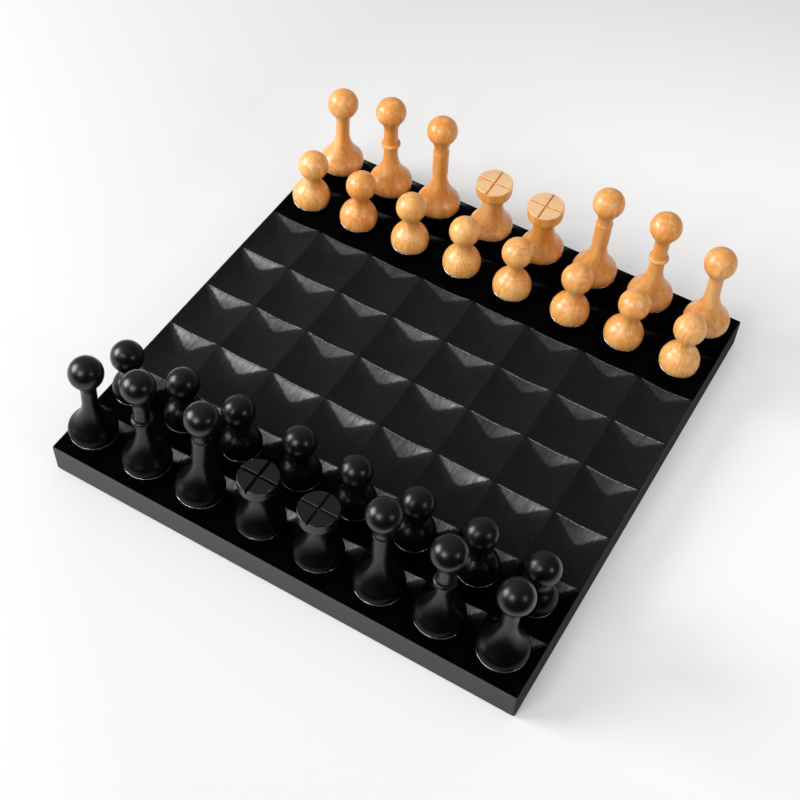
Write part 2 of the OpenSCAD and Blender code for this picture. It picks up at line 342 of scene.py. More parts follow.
# Painted shadow of the pieces: the rows where they stand are painted near black
painted_shadow_colour = add(
    tree,
    "Mix",
    {FACTOR: painted_shadow_rows, COLOUR_A: stain_wear_and_highlight.outputs[2], COLOUR_B: paint("#030303")},
    data_type="RGBA",
)
colour = add(
    tree,
    "Mix",
    {FACTOR: beside, COLOUR_A: painted_shadow_colour.outputs[2], COLOUR_B: paint("#3d3d3f")},
    data_type="RGBA",
)
brushed = add(tree, "Mapping", {"Vector": here, "Scale": (1.0, 0.12, 0.12)})
strokes = add(tree, "TexNoise", {"Vector": brushed.outputs[0], "Scale": 900.0, "Detail": 4.0})
mottle = add(tree, "TexNoise", {"Vector": here, "Scale": 420.0, "Detail": 3.0})
# A painted highlight: in a bell-shaped patch under each far ridge the specular level is raised,
# and the gleam lamps light it there
painted_highlight = add(tree, "Attribute", attribute_name="painted_highlight").outputs["Fac"]
ragged = add(
    tree, "Math", {0: mottle.outputs["Fac"], 1: 0.16, 2: -0.08}, operation="MULTIPLY_ADD"
)
inside = add(tree, "Math", {0: painted_highlight, 1: ragged.outputs[0]}, operation="ADD")
painted_highlight_edge = add(
    tree,
    "MapRange",
    {
        "Value": inside.outputs[0],
        "From Min": -0.03,
        "From Max": 0.09,
        "To Min": 0.055,
        "To Max": 0.54,
    },
    interpolation_type="SMOOTHSTEP",
)
streaked = add(
    tree,
    "MapRange",
    {
        "Value": strokes.outputs["Fac"],
        "From Min": NOISE_LOW,
        "From Max": NOISE_HIGH,
        "To Min": 0.5,
        "To Max": 1.35,
    },
)
deeper = add(
    tree,
    "MapRange",
    {"Value": painted_highlight, "From Min": 0.10, "From Max": 0.45, "To Min": 1.1, "To Max": 0.75},
)
fading = add(
    tree, "Math", {0: painted_highlight_edge.outputs[0], 1: deeper.outputs[0]}, operation="MULTIPLY"
)
gleam = add(tree, "Math", {0: fading.outputs[0], 1: streaked.outputs[0]}, operation="MULTIPLY")
# Painted shadow: in the rows where the pieces stand the painted highlight is dimmed, and the
# next line is that dimmed highlight
painted_shadow_dimming = add(tree, "MapRange", {"Value": painted_shadow_rows, "To Min": 1.0, "To Max": 0.22})
polished = add(tree, "Math", {0: gleam.outputs[0], 1: painted_shadow_dimming.outputs[0]}, operation="MULTIPLY")
top_side = add(
    tree, "MapRange", {"Value": beside, "From Max": 0.5, "To Min": 1.0, "To Max": 0.0}
)
# The painted highlight, dimmed in the painted shadow rows, sets the specular level, which is
# zero on the sides
painted_gloss_level = add(
    tree, "Math", {0: polished.outputs[0], 1: top_side.outputs[0]}, operation="MULTIPLY"
)
gloss = add(
    tree,
    "MapRange",
    {
        "Value": cloud.outputs["Fac"],
        "From Min": NOISE_LOW,
        "From Max": NOISE_HIGH,
        "To Min": 0.24,
        "To Max": 0.31,
    },
)
grain_ripple = add(
    tree, "Bump", {"Height": grain.outputs["Fac"], "Strength": 0.45, "Distance": 0.0001}
)
skin = add(
    tree,
    "BsdfPrincipled",
    {
        "Base Color": colour.outputs[2],
        "Roughness": gloss.outputs[0],
        "Normal": grain_ripple.outputs[0],
        "Specular IOR Level": painted_gloss_level.outputs[0],
    },
)
add(tree, "OutputMaterial", {"Surface": skin.outputs[0]})

slab_points, slab_faces, slab_values = slab()
board = set_down(
    "board_slab",
    slab_points,
    slab_faces,
    ebonised,
    "board",
    "board",
    sharp=60,
)
for name, values in slab_values.items():
    stored = board.data.attributes.new(name, "FLOAT", "POINT")
    stored.data.foreach_set("value", values.astype(np.float32))


# Felt pads
# Four round dots of pressed wool felt, die cut and glued under the board's corners, so
# that the slab doesn't scratch a table. Their cut edge bulges a little under the weight.

PAD_RADIUS = 0.009
PAD_INSET = 0.024
PAD_BULGE = 0.0003
PAD_EDGE_POINTS = 13
PAD_AROUND = 48


def turned(outline, around=96):
    """Points and faces of an outline of (radius, height) carried once round Z.

    The first and last points lie on the axis, and each closes its end with a fan.
    """
    turn = np.arange(around) * 2 * math.pi / around
    rings = outline[1:-1]
    points = np.stack(
        [
            rings[:, :1] * np.cos(turn),
            rings[:, :1] * np.sin(turn),
            np.repeat(rings[:, 1:], around, 1),
        ],
        -1,
    ).reshape(-1, 3)
    ends = np.array([[0, 0, outline[0, 1]], [0, 0, outline[-1, 1]]])
    at = np.arange(len(rings) * around).reshape(len(rings), around)
    following = np.roll(at, -1, 1)
    sides = np.stack([at[:-1], following[:-1], following[1:], at[1:]], -1)
    low = np.stack([np.full(around, at.size), following[0], at[0]], 1)
    high = np.stack([at[-1], following[-1], np.full(around, at.size + 1)], 1)
    faces = sides.reshape(-1, 4).tolist() + low.tolist() + high.tolist()
    return np.concatenate([points, ends]), faces


# Pressed wool felt: dark grey, matt, its fibres lying every way. They are drawn 0.4 mm
# thick, far coarser than wool, so that they show
felt, tree = bare_material("pressed_wool_felt")
here = add(tree, "TexCoord").outputs["Object"]
fibres = add(tree, "TexNoise", {"Vector": here, "Scale": 2600.0, "Detail": 6.0})
colour = add(
    tree,
    "Mix",
    {FACTOR: fibres.outputs["Fac"], COLOUR_A: paint("#2b2b2d"), COLOUR_B: paint("#4d4d50")},
    data_type="RGBA",
)
fuzz = add(tree, "Bump", {"Height": fibres.outputs["Fac"], "Strength": 0.8, "Distance": 0.0003})
skin = add(
    tree,
    "BsdfPrincipled",
    {
        "Base Color": colour.outputs[2],
        "Roughness": 0.95,
        "Normal": fuzz.outputs[0],
        "Sheen Weight": 0.5,
    },
)
add(tree, "OutputMaterial", {"Surface": skin.outputs[0]})

pad_angle = np.radians(np.linspace(-90, 90, PAD_EDGE_POINTS))
pad_edge = np.stack(
    [
        PAD_RADIUS - PAD_BULGE + PAD_BULGE * np.cos(pad_angle),
        BOARD_UNDER / 2 * (1 + np.sin(pad_angle)),
    ],
    1,
)
pad_outline = np.concatenate([[[0, 0]], pad_edge, [[0, BOARD_UNDER]]])
pad_points, pad_faces = turned(pad_outline, PAD_AROUND)
pad_reach = BOARD_HALF - PAD_INSET
pads = [
    pad_points + (x * pad_reach, y * pad_reach, 0) for x in (-1, 1) for y in (-1, 1)
]
set_down(
    "felt_dots",
    np.concatenate(pads),
    [
        [point + pad * len(pad_points) for point in face]
        for pad in range(len(pads))
        for face in pad_faces
    ],
    felt,
    "board",
    "foot_pads",
    sharp=70,
)


# Round metal weights
# Each piece rests on a dome of turned steel, blackened but for a polished rim, that
# carries the ball of its body on below the wood. A spigot on the dome is glued into a bore
# in the wood, and an open joint of half a millimetre is left between rim and wood.

BALL = 0.0182
PAWN_BALL = 0.0155
RIM_DROP = 0.004
RIM_GAP = 0.0005
RIM_EDGE = 0.00032
SPIGOT = 0.009
SPIGOT_TOP = 0.006
SEAT_GAP = 0.0003
# The part's pieces stand by squares that all have one width
CAD_SQUARE = 0.0476
TROUGH = ((CAD_SQUARE / 2) ** 2 + DISH_DEPTH**2) / (2 * DISH_DEPTH)
MIDDLE = (SQUARES - 1) / 2
FILES = "abcdefgh"
RANKS = {"dark": (0, 1), "light": (7, 6)}
# Edges sharper than this many degrees stay crisp
CRISP_ANGLE = 32
# Each piece's blank was cut from its plank somewhere between these two places
BLANK_FROM = (0.03, -0.02, -0.5)
BLANK_TO = (0.07, 0.02, 0.5)


def arc(x, z, radius, start, end, step=4):
    """Points on an arc about (x, z), between two angles in degrees, both ends kept."""
    count = max(2, math.ceil(abs(end - start) / step) + 1)
    angle = np.radians(np.linspace(start, end, count))
    return np.stack([x + radius * np.cos(angle), z + radius * np.sin(angle)], 1)


def standing(name, stance):
    """How a piece stands, as a rotation and a place.

    The stance is where its ball sits off the dish's centre, along X and Y in millimetres,
    and how far it leans to +X and to +Y in degrees. Off the centre the ball climbs the
    trough, an arc through the dish's floor and ridges. A turn about X by minus the Y lean
    comes first, then one about Y.
    """
    side, kind, file = name.split("_")
    ball = PAWN_BALL if kind == "pawn" else BALL
    rank = RANKS[side][kind == "pawn"]
    off_x, off_y = (offset / 1000 for offset in stance[:2])
    lean_x, lean_y = (math.radians(angle) for angle in stance[2:])
    swing = TROUGH - ball
    climb = swing - math.sqrt(swing**2 - max(abs(off_x), abs(off_y)) ** 2)
    place = Vector(
        (
            (MIDDLE - FILES.index(file)) * CAD_SQUARE + off_x,
            (rank - MIDDLE) * CAD_SQUARE + off_y,
            BOARD_TOP - DISH_DEPTH + SEAT_GAP + ball + climb,
        )
    )
    lean = Quaternion((0, 1, 0), lean_x) @ Quaternion((1, 0, 0), -lean_y)
    return np.array(lean.to_matrix()), np.array(place)


def weight_outline(ball):
    """The dome from its pole to its rim, the flat inside the rim, and the spigot.

    The rim's radius is the root of the ball's radius squared less its drop squared. A
    small arc rounds its edge, and a chamfer of the same size breaks the spigot's.
    """
    rim = -math.degrees(math.asin((RIM_DROP + RIM_EDGE) / ball))
    rim_radius = math.sqrt(ball**2 - RIM_DROP**2)
    return np.concatenate(
        [
            arc(0, 0, ball, -90, rim),
            arc(rim_radius - RIM_EDGE, -RIM_DROP - RIM_EDGE, RIM_EDGE, 10, 90, 20),
            [[SPIGOT, -RIM_DROP]],
            [[SPIGOT, SPIGOT_TOP - RIM_EDGE], [SPIGOT - RIM_EDGE, SPIGOT_TOP]],
            [[0, SPIGOT_TOP]],
        ]
    )


# Turned steel: a bright polished rim, and below it a blackened dome that hides in the
# dish, both with the rings that the lathe left, 0.2 mm apart, and smears 5 mm across
steel, tree = bare_material("blackened_steel_with_polished_rim")
blank = add(tree, "Attribute", attribute_name="blank").outputs["Vector"]
along = add(tree, "Mapping", {"Vector": blank, "Scale": (0.0, 0.0, 1.0)})
rings = add(tree, "TexNoise", {"Vector": along.outputs[0], "Scale": 5200.0, "Detail": 2.0})
smear = add(tree, "TexNoise", {"Vector": blank, "Scale": 210.0})
gloss = add(
    tree,
    "MapRange",
    {
        "Value": smear.outputs["Fac"],
        "From Min": NOISE_LOW,
        "From Max": NOISE_HIGH,
        "To Min": 0.24,
        "To Max": 0.34,
    },
)
bright = add(
    tree,
    "Mix",
    {FACTOR: smear.outputs["Fac"], COLOUR_A: paint("#b6b7b9"), COLOUR_B: paint("#cbcccd")},
    data_type="RGBA",
)
rise = add(tree, "Attribute", attribute_name="rise").outputs["Fac"]
at_rim = add(tree, "MapRange", {"Value": rise, "From Min": -0.0052, "From Max": -0.0046})
colour = add(
    tree,
    "Mix",
    {FACTOR: at_rim.outputs[0], COLOUR_A: paint("#3a3a3c"), COLOUR_B: bright.outputs[2]},
    data_type="RGBA",
)
ripple = add(
    tree, "Bump", {"Height": rings.outputs["Fac"], "Strength": 0.2, "Distance": 0.00002}
)
skin = add(
    tree,
    "BsdfPrincipled",
    {
        "Base Color": colour.outputs[2],
        "Metallic": 1.0,
        "Roughness": gloss.outputs[0],
        "Normal": ripple.outputs[0],
    },
)
add(tree, "OutputMaterial", {"Surface": skin.outputs[0]})


def stood(piece_name, body, points, faces, material, replaced, stance, sharp=CRISP_ANGLE):
    """Stands a turned thing in its dish and keeps each point's place in its blank.

    The blank's coordinates are the upright ones, turned about the axis and shifted by an
    amount drawn for each piece, so that no two pieces show the same grain. A tone is
    drawn for each piece too, and each point keeps its height above the ball's centre.
    """
    turn, place = standing(body, stance)
    piece = set_down(
        piece_name, points @ turn.T + place, faces, material, body, replaced, sharp
    )
    rng = np.random.default_rng([ord(letter) for letter in body])
    angle = rng.uniform(0, 2 * math.pi)
    cos, sin = math.cos(angle), math.sin(angle)
    blank = points @ np.array([[cos, sin, 0], [-sin, cos, 0], [0, 0, 1]])
    blank = blank + rng.uniform(BLANK_FROM, BLANK_TO)
    stored = piece.data.attributes.new("blank", "FLOAT_VECTOR", "POINT")
    stored.data.foreach_set("vector", blank.astype(np.float32).ravel())
    tone = np.full(len(points), rng.uniform())
    for name, values in (("tone", tone), ("rise", points[:, 2])):
        stored = piece.data.attributes.new(name, "FLOAT", "POINT")
        stored.data.foreach_set("value", values.astype(np.float32))
    return piece


def weighted(body, stance):
    """Adds a piece's metal weight. A pawn's is in one node of the part with its wood."""
    pawn = "_pawn_" in body
    points, faces = turned(weight_outline(PAWN_BALL if pawn else BALL))
    replaced = body if pawn else body + "_weight"
    stood(body + "_dome", body, points, faces, steel, replaced, stance)


# Rooks
# A ball that flows up into a slim neck under a round head, turned in one piece of beech.
# One side is left natural under satin varnish, the other is lacquered black.

SHOULDER = 0.009
SHOULDER_ANGLE = 6
FLARE = 0.039
ROOK_NECK = 0.0057
ROOK_HEAD = 0.0125
ROOK_HEAD_Z = 0.061
ROOK_HOLLOW = 0.016
WOOD_EDGE = 0.0003
GLUE_GAP = 0.0001
ROOKS = {
    "dark_rook_a": (-0.5, -0.5, 2, 2),
    "dark_rook_h": (-2, 0, 3, 1.5),
    "light_rook_a": (1, 0, -1.5, -0.5),
    "light_rook_h": (-1, 2, 2, -1.5),
}


def foot(ball, top):
    """The bore for the spigot, the wood's lower edge, and the ball above it.

    The bore is followed from its closed end on the axis down to the joint, then the flat
    out to the ball, whose edge is broken by a small chamfer. top is where the ball's arc
    ends, in degrees.
    """
    end = RIM_DROP - RIM_GAP
    bore = SPIGOT + GLUE_GAP
    start = -math.degrees(math.asin((end - WOOD_EDGE) / ball))
    edge = math.sqrt(ball**2 - end**2) - WOOD_EDGE
    return np.concatenate(
        [
            [[0, SPIGOT_TOP + GLUE_GAP], [bore, SPIGOT_TOP + GLUE_GAP]],
            [[bore, -end], [edge, -end]],
            arc(0, 0, ball, start, top),
        ]
    )


def flowing(ball, shoulder, angle, flare, neck, past=0):
    """The ball, a tighter shoulder and a hollow flare that touches it.

    The shoulder's centre lies on the ball's radius at the given angle below its widest
    line, so the two arcs touch there. The flare's centre is one flare radius outside the
    neck, at the height where the flare and the shoulder touch. The flare runs on past
    its narrowest place by the last angle.
    """
    x = (ball - shoulder) * math.cos(math.radians(angle))
    z = -(ball - shoulder) * math.sin(math.radians(angle))
    turn = math.degrees(math.acos((neck + flare - x) / (shoulder + flare)))
    high = z + (shoulder + flare) * math.sin(math.radians(turn))
    outline = np.concatenate(
        [
            foot(ball, -angle),
            arc(x, z, shoulder, -angle, turn)[1:],
            arc(neck + flare, high, flare, 180 + turn, 180 - past, 3)[1:],
        ]
    )
    return outline, high


def ball_head(z, radius, flat, neck, hollow):
    """A round head, flattened above and below, on the hollow that leaves the neck.

    The head's arc has its centre off the axis by the flat. The hollow's centre is one
    hollow radius outside the neck, at the height where its arc and the head's touch.
    """
    inner = radius - flat
    turn = math.degrees(math.acos((neck + hollow - flat) / (inner + hollow)))
    low = z - (inner + hollow) * math.sin(math.radians(turn))
    return np.concatenate(
        [
            arc(neck + hollow, low, hollow, 180, 180 - turn),
            arc(flat, z, inner, -turn, 90, 5)[1:],
            [[0, z + inner]],
        ]
    )


# Beech under satin varnish: honey coloured, with growth rings 3 mm apart that wander over
# 17 mm, streaks 1.4 mm wide and paler bands 6 mm wide that run up the piece, ray flecks
# 0.4 mm wide, and a tone that differs from blank to blank
beech, tree = bare_material("varnished_beech")
blank = add(tree, "Attribute", attribute_name="blank").outputs["Vector"]
tone = add(tree, "Attribute", attribute_name="tone").outputs["Fac"]
drawn = add(tree, "Mapping", {"Vector": blank, "Scale": (1.0, 1.0, 0.07)})
layers = add(tree, "Mapping", {"Vector": blank, "Scale": (1.0, 1.0, 0.12)})
wander = add(tree, "TexNoise", {"Vector": layers.outputs[0], "Scale": 60.0, "Detail": 2.0})
shift = add(
    tree,
    "VectorMath",
    {0: wander.outputs["Color"], 1: (0.012, 0.012, 0.0)},
    operation="MULTIPLY",
)
warped = add(tree, "VectorMath", {0: layers.outputs[0], 1: shift.outputs[0]})
years = add(
    tree,
    "TexWave",
    {"Vector": warped.outputs[0], "Scale": 105.0, "Distortion": 1.2, "Detail": 2.0},
    wave_type="RINGS",
    rings_direction="Z",
)
streaks = add(tree, "TexNoise", {"Vector": drawn.outputs[0], "Scale": 700.0, "Detail": 5.0})
bands = add(tree, "TexNoise", {"Vector": drawn.outputs[0], "Scale": 170.0, "Detail": 2.0})
fleck = add(tree, "TexNoise", {"Vector": drawn.outputs[0], "Scale": 2600.0, "Detail": 1.0})
flecks = add(
    tree,
    "MapRange",
    {"Value": fleck.outputs["Fac"], "From Min": 0.60, "From Max": 0.74, "To Max": 0.45},
)
warm = add(
    tree,
    "Mix",
    {FACTOR: tone, COLOUR_A: paint("#d88c3b"), COLOUR_B: paint("#e6ab62")},
    data_type="RGBA",
)
late = add(tree, "MapRange", {"Value": years.outputs["Fac"], "From Min": 0.35, "To Max": 0.40})
ringed = add(
    tree,
    "Mix",
    {FACTOR: late.outputs[0], COLOUR_A: warm.outputs[2], COLOUR_B: paint("#c47a38")},
    data_type="RGBA",
)
streak = add(
    tree,
    "MapRange",
    {"Value": streaks.outputs["Fac"], "From Min": 0.44, "From Max": 0.72, "To Max": 0.65},
)
streaked = add(
    tree,
    "Mix",
    {FACTOR: streak.outputs[0], COLOUR_A: ringed.outputs[2], COLOUR_B: paint("#c67d34")},
    data_type="RGBA",
)
pale = add(
    tree,
    "MapRange",
    {"Value": bands.outputs["Fac"], "From Min": 0.45, "From Max": 0.75, "To Max": 0.55},
)
banded = add(
    tree,
    "Mix",
    {FACTOR: pale.outputs[0], COLOUR_A: streaked.outputs[2], COLOUR_B: paint("#efc384")},
    data_type="RGBA",
)
colour = add(
    tree,
    "Mix",
    {FACTOR: flecks.outputs[0], COLOUR_A: banded.outputs[2], COLOUR_B: paint("#9a5c2a")},
    data_type="RGBA",
)
gloss = add(
    tree,
    "MapRange",
    {
        "Value": streaks.outputs["Fac"],
        "From Min": NOISE_LOW,
        "From Max": NOISE_HIGH,
        "To Min": 0.34,
        "To Max": 0.44,
    },
)
pores = add(
    tree, "Bump", {"Height": streaks.outputs["Fac"], "Strength": 0.15, "Distance": 0.0001}
)
skin = add(
    tree,
    "BsdfPrincipled",
    {
        "Base Color": colour.outputs[2],
        "Roughness": gloss.outputs[0],
        "Normal": pores.outputs[0],
        "Coat Weight": 0.3,
        "Coat Roughness": 0.17,
    },
)
add(tree, "OutputMaterial", {"Surface": skin.outputs[0]})

# Black lacquer sprayed over the turned wood: deep, half glossy, with the unevenness of a
# sprayed film over 3 mm, smudges 10 mm across and the grain's ripple of 2 mm under it. Its
# gloss is turned down low on the ball, a painted shade that darkens the reflections there,
# and it shines from the shoulder up
lacquer, tree = bare_material("black_lacquer_on_wood")
blank = add(tree, "Attribute", attribute_name="blank").outputs["Vector"]
drawn = add(tree, "Mapping", {"Vector": blank, "Scale": (1.0, 1.0, 0.1)})
ripple = add(tree, "TexNoise", {"Vector": drawn.outputs[0], "Scale": 520.0, "Detail": 2.0})
film = add(tree, "TexNoise", {"Vector": blank, "Scale": 330.0, "Detail": 2.0})
smudge = add(tree, "TexNoise", {"Vector": blank, "Scale": 95.0, "Detail": 3.0})
gloss = add(
    tree,
    "MapRange",
    {
        "Value": smudge.outputs["Fac"],
        "From Min": NOISE_LOW,
        "From Max": NOISE_HIGH,
        "To Min": 0.27,
        "To Max": 0.35,
    },
)
colour = add(
    tree,
    "Mix",
    {FACTOR: smudge.outputs["Fac"], COLOUR_A: paint("#030303"), COLOUR_B: paint("#060606")},
    data_type="RGBA",
)
under = add(
    tree, "Bump", {"Height": ripple.outputs["Fac"], "Strength": 0.12, "Distance": 0.00005}
)
peel = add(
    tree,
    "Bump",
    {
        "Height": film.outputs["Fac"],
        "Strength": 0.12,
        "Distance": 0.0001,
        "Normal": under.outputs[0],
    },
)
# Painted shade: the specular level falls low on the ball, which darkens its reflections there
rise = add(tree, "Attribute", attribute_name="rise").outputs["Fac"]
painted_gloss_level = add(
    tree,
    "MapRange",
    {"Value": rise, "From Min": 0.008, "From Max": 0.022, "To Min": 0.1, "To Max": 0.44},
)
skin = add(
    tree,
    "BsdfPrincipled",
    {
        "Base Color": colour.outputs[2],
        "Roughness": gloss.outputs[0],
        "Normal": peel.outputs[0],
        "Specular IOR Level": painted_gloss_level.outputs[0],
    },
)
add(tree, "OutputMaterial", {"Surface": skin.outputs[0]})

# The same beech where the drum's top was faced off after varnishing: paler and drier,
# with specks 1 mm across and scores 1.4 mm apart
bare, tree = bare_material("freshly_faced_beech")
blank = add(tree, "Attribute", attribute_name="blank").outputs["Vector"]
speck = add(tree, "TexNoise", {"Vector": blank, "Scale": 900.0, "Detail": 4.0})
drawn = add(tree, "Mapping", {"Vector": blank, "Scale": (1.0, 0.12, 1.0)})
scores = add(tree, "TexNoise", {"Vector": drawn.outputs[0], "Scale": 700.0, "Detail": 3.0})
grained = add(
    tree,
    "Mix",
    {FACTOR: speck.outputs["Fac"], COLOUR_A: paint("#d1a26c"), COLOUR_B: paint("#e1c297")},
    data_type="RGBA",
)
scored = add(
    tree,
    "MapRange",
    {"Value": scores.outputs["Fac"], "From Min": 0.5, "From Max": 0.75, "To Max": 0.5},
)
colour = add(
    tree,
    "Mix",
    {FACTOR: scored.outputs[0], COLOUR_A: grained.outputs[2], COLOUR_B: paint("#bf8148")},
    data_type="RGBA",
)
saw_marks = add(
    tree, "Bump", {"Height": scores.outputs["Fac"], "Strength": 0.3, "Distance": 0.0002}
)
skin = add(
    tree,
    "BsdfPrincipled",
    {"Base Color": colour.outputs[2], "Roughness": 0.6, "Normal": saw_marks.outputs[0]},
)
add(tree, "OutputMaterial", {"Surface": skin.outputs[0]})

WOODS = {
    "dark": (lacquer, "black_lacquered_wood"),
    "light": (beech, "natural_wood"),
}


def bodied(body, points, faces, stance, sharp=CRISP_ANGLE):
    """Adds a piece's wooden body in its side's finish, and its weight."""
    material, slot = WOODS[body.split("_")[0]]
    made = stood(body + "_wood", body, points, faces, material, body, stance, sharp)
    weighted(body, stance)
    return made


rook_low, _ = flowing(BALL, SHOULDER, SHOULDER_ANGLE, FLARE, ROOK_NECK)
rook_high = ball_head(ROOK_HEAD_Z, ROOK_HEAD, 0, ROOK_NECK, ROOK_HOLLOW)
rook_points, rook_faces = turned(np.concatenate([rook_low, rook_high]))
for rook, stance in ROOKS.items():
    bodied(rook, rook_points, rook_faces, stance)


# Knights
# The rook's ball and flare, a longer neck with one round bead turned on it as a collar,
# and a head slightly flattened above and below.

KNIGHT_NECK = 0.0058
COLLAR_Z = 0.041
COLLAR_BEAD = 0.0021
TALL_HEAD = 0.0123
TALL_HEAD_FLAT = 0.001
TALL_HEAD_Z = 0.0746
TALL_HOLLOW = 0.020
KNIGHTS = {
    "dark_knight_b": (0, -1, 1.5, 0.5),
    "dark_knight_g": (-1, -1, 0, 3),
    "light_knight_b": (0, 1, 0.5, -2),
    "light_knight_g": (-0.5, 1.5, 0, -2),
}

knight_low, _ = flowing(BALL, SHOULDER, SHOULDER_ANGLE, FLARE, KNIGHT_NECK)
knight_high = ball_head(TALL_HEAD_Z, TALL_HEAD, TALL_HEAD_FLAT, KNIGHT_NECK, TALL_HOLLOW)
collar = arc(KNIGHT_NECK, COLLAR_Z, COLLAR_BEAD, -90, 90, 10)
knight_points, knight_faces = turned(np.concatenate([knight_low, collar, knight_high]))
for knight, stance in KNIGHTS.items():
    bodied(knight, knight_points, knight_faces, stance)


# Bishops
# As the knights, but the neck carries a plain straight sleeve with a small step at each
# end instead of the collar.

BISHOP_NECK = 0.0059
SLEEVE = 0.0065
SLEEVE_RISE = 0.0002
SLEEVE_LENGTH = 0.0227
SLEEVE_EDGE = 0.00015
BISHOPS = {
    "dark_bishop_c": (1, -1, 0, 2.5),
    "dark_bishop_f": (-2.5, -1, 4, 3.5),
    "light_bishop_c": (-1, 1, 1.5, -2),
    "light_bishop_f": (-2, 1.5, -0.5, 0),
}

bishop_low, flare_top = flowing(BALL, SHOULDER, SHOULDER_ANGLE, FLARE, BISHOP_NECK)
bishop_high = ball_head(TALL_HEAD_Z, TALL_HEAD, TALL_HEAD_FLAT, BISHOP_NECK, TALL_HOLLOW)
sleeve_low = flare_top + SLEEVE_RISE
sleeve_high = sleeve_low + SLEEVE_LENGTH
sleeve = [
    [BISHOP_NECK, sleeve_low],
    [SLEEVE - SLEEVE_EDGE, sleeve_low],
    [SLEEVE, sleeve_low + SLEEVE_EDGE],
    [SLEEVE, sleeve_high - SLEEVE_EDGE],
    [SLEEVE - SLEEVE_EDGE, sleeve_high],
    [BISHOP_NECK, sleeve_high],
]
bishop_points, bishop_faces = turned(np.concatenate([bishop_low, sleeve, bishop_high]))
for bishop, stance in BISHOPS.items():
    bodied(bishop, bishop_points, bishop_faces, stance)


# Queens and kings
# A shorter, thicker waist under a flat drum. The drum's top is faced off and cut across
# twice with a saw: the king's cuts are wider and deeper than the queen's, and those of
# the natural pieces are finer than those of the black ones.

ROYAL_SHOULDER = 0.007
ROYAL_SHOULDER_ANGLE = 12
WAIST_HOLLOW = 0.034
WAIST = 0.0084
DRUM = 0.0145
DRUM_Z = 0.0336
DRUM_HEIGHT = 0.0126
DRUM_TOP = DRUM_Z + DRUM_HEIGHT
DRUM_LEDGE = 0.0004
DRUM_CHAMFER = 0.0005
DRUM_CRISP_ANGLE = 28
KERF_LIP = 0.0004
KERF_REACH = 1.5 * DRUM
# Width and depth of the cuts
KERFS = {
    "dark_king": (0.0020, 0.003),
    "dark_queen": (0.0016, 0.0018),
    "light_king": (0.0011, 0.0012),
    "light_queen": (0.0010, 0.0009),
}
ROYALS = {
    "dark_queen_d": (0.5, -1, 0, 1.5),
    "dark_king_e": (0, 0, 0, 1),
    "light_queen_d": (-1, 1.5, 0, -4),
    "light_king_e": (-0.5, 2.5, 1, -3.5),
}


def kerf(width, depth, along_x):
    """Points and faces of the straight bar that one saw cut takes away.

    Its section is the saw's width, opened by a small lip at the drum's top, where the
    edge was rubbed down. The lip's slope of 45 degrees runs on above the top.
    """
    half = width / 2
    right = [
        [half, DRUM_TOP - depth],
        [half, DRUM_TOP - KERF_LIP],
        [half + KERF_LIP, DRUM_TOP],
        [half + 3 * KERF_LIP, DRUM_TOP + 2 * KERF_LIP],
    ]
    left = [[-x, z] for x, z in right[::-1]]
    section = np.array([left[-1], *right, *left[:-1]])
    ends = []
    for reach in (-KERF_REACH, KERF_REACH):
        end = np.insert(section, 1, reach, axis=1)
        ends.append(end[:, [1, 0, 2]] if along_x else end)
    near = np.arange(len(section))
    far = near + len(section)
    walls = np.stack([near, np.roll(near, -1), np.roll(far, -1), far], 1)
    faces = [near[::-1].tolist(), far.tolist(), *walls.tolist()]
    if not along_x:
        faces = [face[::-1] for face in faces]
    return np.concatenate(ends), faces


def saw_cut(points, faces, width, depth):
    """The drum with two crossed saw cuts, each of them a bar taken away from it."""
    bars = [kerf(width, depth, along_x) for along_x in (False, True)]
    held = []
    for solid_points, solid_faces in ((points, faces), *bars):
        mesh = bpy.data.meshes.new("held")
        mesh.from_pydata(solid_points.tolist(), [], solid_faces)
        held.append(bpy.data.objects.new("held", mesh))
        bpy.context.scene.collection.objects.link(held[-1])
    drum = held[0]
    for bar in held[1:]:
        cut = drum.modifiers.new("cut", "BOOLEAN")
        cut.object = bar
        cut.operation = "DIFFERENCE"
        cut.solver = "EXACT"
    shape = drum.evaluated_get(bpy.context.evaluated_depsgraph_get()).to_mesh()
    cut_points = np.empty(len(shape.vertices) * 3)
    shape.vertices.foreach_get("co", cut_points)
    cut_faces = [list(face.vertices) for face in shape.polygons]
    for leftover in held:
        bpy.data.meshes.remove(leftover.data)
    return cut_points.reshape(-1, 3), cut_faces


